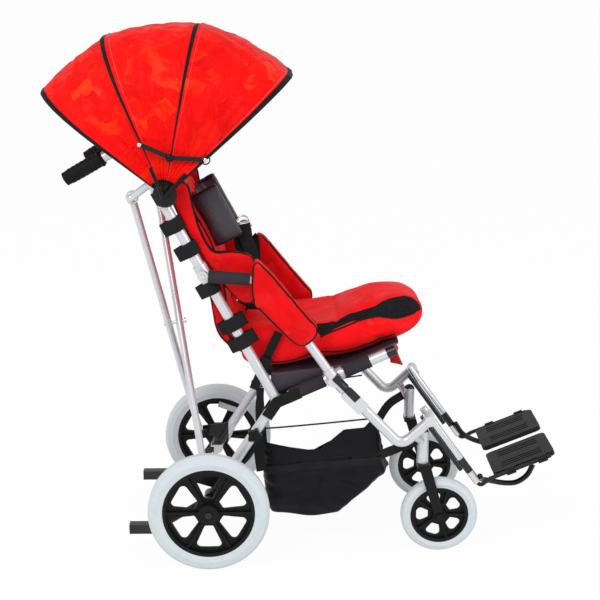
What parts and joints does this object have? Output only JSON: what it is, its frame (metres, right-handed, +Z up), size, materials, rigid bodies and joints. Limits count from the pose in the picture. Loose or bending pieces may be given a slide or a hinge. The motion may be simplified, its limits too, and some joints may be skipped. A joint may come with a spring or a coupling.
{
  "type": "special_needs_stroller",
  "caption": "Folding special needs stroller: raked tube frame, large rear wheels, swivel casters, padded seat with head support, folding hood, basket and foot plates",
  "frame": {"origin": "point on the floor under the centre of the overall box", "axes": "+X forwards, +Y to the seated child's left, +Z up"},
  "size_m": [1.2409, 0.593, 1.2791],
  "materials": {
    "tyre": "matte grey polyurethane",
    "wheel_plastic": "moulded black plastic",
    "black_plastic": "moulded",
    "black_rubber": "soft grip",
    "black_steel": "powder coat",
    "silver_paint": "silver powder coat",
    "bright_steel": "bright plated",
    "foam": "foam sleeve",
    "seat_cloth": "quilted red cloth",
    "sling_vinyl": "coated cloth",
    "back_cloth": "padded cloth",
    "head_cloth": "padded cloth",
    "hood_cloth": "woven canopy cloth",
    "basket_cloth": "coated nylon"
  },
  "bodies": {
    "right_frame": {"rear_leg_right": "silver_paint", "pivot_bracket_right": "black_plastic", "seat_rail_right": "silver_paint", "seat_cushion": "seat_cloth", "seat_sling": "sling_vinyl", "basket": "basket_cloth"},
    "left_frame": {"rear_leg_left": "silver_paint", "pivot_bracket_left": "black_plastic", "seat_rail_left": "silver_paint"},
    "right_cane": {"cane_right": "silver_paint", "grip_right": "black_rubber", "hood_clamp_right": "black_plastic", "back_rest": "back_cloth", "head_support": "head_cloth", "hood_fixed_bows": "black_plastic", "hood_panel_rear": "hood_cloth"},
    "right_front_leg": {"front_leg_right": "silver_paint", "arm_link_right": "silver_paint", "side_guard_right": "back_cloth"},
    "right_arm_rest": {"arm_bar_right": "silver_paint", "arm_foam_right": "foam"},
    "right_brace_fork": {"brace_fork_right": "black_plastic"},
    "right_rear_wheel": {"rear_tyre_right": "tyre", "rear_rim_right": "wheel_plastic"},
    "right_caster": {"caster_fork_right": "black_plastic"},
    "right_front_wheel": {"front_tyre_right": "tyre", "front_rim_right": "wheel_plastic"},
    "right_leg_rest": {"hanger_right": "bright_steel"},
    "right_foot_slide": {"foot_slider_right": "black_steel"},
    "right_foot_plate": {"foot_plate_right": "black_plastic"},
    "right_clamp_knob": {"clamp_knob_right": "black_plastic"},
    "right_wheel_lock": {"wheel_lock_lever_right": "bright_steel"},
    "left_cane": {"cane_left": "silver_paint", "grip_left": "black_rubber", "hood_clamp_left": "black_plastic"},
    "left_front_leg": {"front_leg_left": "silver_paint", "arm_link_left": "silver_paint", "side_guard_left": "back_cloth"},
    "left_arm_rest": {"arm_bar_left": "silver_paint", "arm_foam_left": "foam"},
    "left_brace_fork": {"brace_fork_left": "black_plastic"},
    "left_rear_wheel": {"rear_tyre_left": "tyre", "rear_rim_left": "wheel_plastic"},
    "left_caster": {"caster_fork_left": "black_plastic"},
    "left_front_wheel": {"front_tyre_left": "tyre", "front_rim_left": "wheel_plastic"},
    "left_leg_rest": {"hanger_left": "bright_steel"},
    "left_foot_slide": {"foot_slider_left": "black_steel"},
    "left_foot_plate": {"foot_plate_left": "black_plastic"},
    "left_clamp_knob": {"clamp_knob_left": "black_plastic"},
    "left_wheel_lock": {"wheel_lock_lever_left": "bright_steel"},
    "brace_low_right": {"brace_tube_front": "silver_paint"},
    "brace_low_left": {"brace_tube_rear": "silver_paint"},
    "hood_third": {"hood_third_bow": "black_plastic", "hood_panel_middle": "hood_cloth"},
    "hood_front": {"hood_front_bow": "black_plastic", "hood_panel_front": "hood_cloth"},
    "hood_link_rear": {"hood_brace_links_rear": "bright_steel"},
    "hood_link_front": {"hood_brace_links_front": "bright_steel"}
  },
  "joints": [
    {"name": "frame_fold", "type": "slide", "parent": "right_frame", "child": "left_frame", "axis": [0, -1, 0], "range_m": [0, 0.23], "deforming": ["seat_cushion", "seat_sling", "basket", "back_rest", "head_support", "hood_fixed_bows", "hood_panel_rear", "hood_third_bow", "hood_panel_middle", "hood_front_bow", "hood_panel_front", "hood_brace_links_rear", "hood_brace_links_front"]},
    {"name": "right_cane_fold", "type": "hinge", "parent": "right_frame", "child": "right_cane", "pos_m": [-0.0637, -0.178, 0.394], "axis": [0, 1, 0], "range_deg": [0, 15.99]},
    {"name": "right_front_leg_fold", "type": "hinge", "parent": "right_frame", "child": "right_front_leg", "pos_m": [0.07527, -0.21, 0.45558], "axis": [0, 1, 0], "range_deg": [0, 20.09]},
    {"name": "right_arm_rest_fold", "type": "hinge", "parent": "right_cane", "child": "right_arm_rest", "pos_m": [-0.2354, -0.21, 0.71155], "axis": [0, 1, 0], "range_deg": [-19.29, 0]},
    {"name": "right_brace_tilt", "type": "hinge", "parent": "right_frame", "child": "right_brace_fork", "pos_m": [-0.2557, -0.15, 0.195], "axis": [0, 1, 0], "range_deg": [0, 12.06]},
    {"name": "right_rear_wheel_spin", "type": "hinge", "parent": "right_frame", "child": "right_rear_wheel", "pos_m": [-0.2277, -0.27, 0.146], "axis": [0, 1, 0], "continuous": true},
    {"name": "right_caster_swivel", "type": "hinge", "parent": "right_front_leg", "child": "right_caster", "pos_m": [0.2933, -0.171, 0.231], "axis": [0, 0, 1], "continuous": true},
    {"name": "right_front_wheel_spin", "type": "hinge", "parent": "right_caster", "child": "right_front_wheel", "pos_m": [0.3373, -0.171, 0.095], "axis": [0, 1, 0], "continuous": true},
    {"name": "right_leg_rest_lift", "type": "hinge", "parent": "right_front_leg", "child": "right_leg_rest", "pos_m": [0.30474, -0.171, 0.35327], "axis": [0, -1, 0], "range_deg": [0, 50]},
    {"name": "right_leg_rest_length", "type": "slide", "parent": "right_leg_rest", "child": "right_foot_slide", "axis": [0.5821, 0, -0.8131], "range_m": [0, 0.05]},
    {"name": "right_foot_plate_flip", "type": "hinge", "parent": "right_foot_slide", "child": "right_foot_plate", "pos_m": [0.5483, -0.166, 0.219], "axis": [0.9272, 0, 0.3746], "range_deg": [0, 92.05]},
    {"name": "right_clamp_knob_turn", "type": "hinge", "parent": "right_frame", "child": "right_clamp_knob", "pos_m": [-0.11782, -0.1985, 0.31216], "axis": [0, -1, 0], "continuous": true},
    {"name": "right_wheel_lock_press", "type": "hinge", "parent": "right_frame", "child": "right_wheel_lock", "pos_m": [-0.16538, -0.1925, 0.24024], "axis": [0, -1, 0], "range_deg": [0, 25]},
    {"name": "left_cane_fold", "type": "hinge", "parent": "left_frame", "child": "left_cane", "pos_m": [-0.0637, 0.178, 0.394], "axis": [0, 1, 0], "range_deg": [0, 15.99]},
    {"name": "left_front_leg_fold", "type": "hinge", "parent": "left_frame", "child": "left_front_leg", "pos_m": [0.07527, 0.21, 0.45558], "axis": [0, 1, 0], "range_deg": [0, 20.09]},
    {"name": "left_arm_rest_fold", "type": "hinge", "parent": "left_cane", "child": "left_arm_rest", "pos_m": [-0.2354, 0.21, 0.71155], "axis": [0, 1, 0], "range_deg": [-19.29, 0]},
    {"name": "left_brace_tilt", "type": "hinge", "parent": "left_frame", "child": "left_brace_fork", "pos_m": [-0.2557, 0.15, 0.195], "axis": [0, 1, 0], "range_deg": [0, 12.06]},
    {"name": "left_rear_wheel_spin", "type": "hinge", "parent": "left_frame", "child": "left_rear_wheel", "pos_m": [-0.2277, 0.27, 0.146], "axis": [0, 1, 0], "continuous": true},
    {"name": "left_caster_swivel", "type": "hinge", "parent": "left_front_leg", "child": "left_caster", "pos_m": [0.2933, 0.171, 0.231], "axis": [0, 0, 1], "continuous": true},
    {"name": "left_front_wheel_spin", "type": "hinge", "parent": "left_caster", "child": "left_front_wheel", "pos_m": [0.3373, 0.171, 0.095], "axis": [0, 1, 0], "continuous": true},
    {"name": "left_leg_rest_lift", "type": "hinge", "parent": "left_front_leg", "child": "left_leg_rest", "pos_m": [0.30474, 0.171, 0.35327], "axis": [0, -1, 0], "range_deg": [0, 50]},
    {"name": "left_leg_rest_length", "type": "slide", "parent": "left_leg_rest", "child": "left_foot_slide", "axis": [0.5821, 0, -0.8131], "range_m": [0, 0.05]},
    {"name": "left_foot_plate_flip", "type": "hinge", "parent": "left_foot_slide", "child": "left_foot_plate", "pos_m": [0.5483, 0.166, 0.219], "axis": [-0.9272, 0, -0.3746], "range_deg": [0, 92.05]},
    {"name": "left_clamp_knob_turn", "type": "hinge", "parent": "left_frame", "child": "left_clamp_knob", "pos_m": [-0.11782, 0.1985, 0.31216], "axis": [0, 1, 0], "continuous": true},
    {"name": "left_wheel_lock_press", "type": "hinge", "parent": "left_frame", "child": "left_wheel_lock", "pos_m": [-0.16538, 0.1925, 0.24024], "axis": [0, -1, 0], "range_deg": [0, 25]},
    {"name": "brace_swing", "type": "hinge", "parent": "right_brace_fork", "child": "brace_low_right", "pos_m": [-0.24194, -0.15, 0.19761], "axis": [0.9825, 0, 0.1861], "range_deg": [0, 17.76]},
    {"name": "brace_scissor", "type": "hinge", "parent": "brace_low_right", "child": "brace_low_left", "pos_m": [-0.3217, 0, 0.5435], "axis": [0.9825, 0, 0.1861], "range_deg": [-35.47, 0]},
    {"name": "hood_fold", "type": "hinge", "parent": "right_cane", "child": "hood_front", "pos_m": [-0.3197, 0, 0.901], "axis": [0, -1, 0], "range_deg": [0, 62]},
    {"name": "hood_third_follow", "type": "hinge", "parent": "right_cane", "child": "hood_third", "pos_m": [-0.3197, 0, 0.901], "axis": [0, -1, 0], "range_deg": [0, 29.19]},
    {"name": "hood_link_rear_turn", "type": "hinge", "parent": "right_cane", "child": "hood_link_rear", "pos_m": [-0.37128, 0, 1.02251], "axis": [0, -1, 0], "range_deg": [-64.94, 0]},
    {"name": "hood_link_front_turn", "type": "hinge", "parent": "hood_link_rear", "child": "hood_link_front", "pos_m": [-0.30364, 0, 0.99247], "axis": [0, -1, 0], "range_deg": [0, 144.75]}
  ],
  "couplings": [
    {"joint": "right_cane_fold", "follows": "frame_fold", "rad_per_m": 1.2097},
    {"joint": "right_front_leg_fold", "follows": "frame_fold", "rad_per_m": 1.5206},
    {"joint": "right_arm_rest_fold", "follows": "frame_fold", "rad_per_m": -1.4597},
    {"joint": "right_brace_tilt", "follows": "frame_fold", "rad_per_m": 0.91146},
    {"joint": "right_foot_plate_flip", "follows": "frame_fold", "rad_per_m": 6.9813},
    {"joint": "left_cane_fold", "follows": "frame_fold", "rad_per_m": 1.2097},
    {"joint": "left_front_leg_fold", "follows": "frame_fold", "rad_per_m": 1.5206},
    {"joint": "left_arm_rest_fold", "follows": "frame_fold", "rad_per_m": -1.4597},
    {"joint": "left_brace_tilt", "follows": "frame_fold", "rad_per_m": 0.91146},
    {"joint": "left_foot_plate_flip", "follows": "frame_fold", "rad_per_m": 6.9813},
    {"joint": "brace_swing", "follows": "frame_fold", "rad_per_m": 1.3438},
    {"joint": "brace_scissor", "follows": "frame_fold", "rad_per_m": -2.6877},
    {"joint": "hood_third_follow", "follows": "hood_fold", "ratio": 0.47},
    {"joint": "hood_link_rear_turn", "follows": "hood_fold", "ratio": -1.0466},
    {"joint": "hood_link_front_turn", "follows": "hood_fold", "ratio": 2.3338}
  ]
}
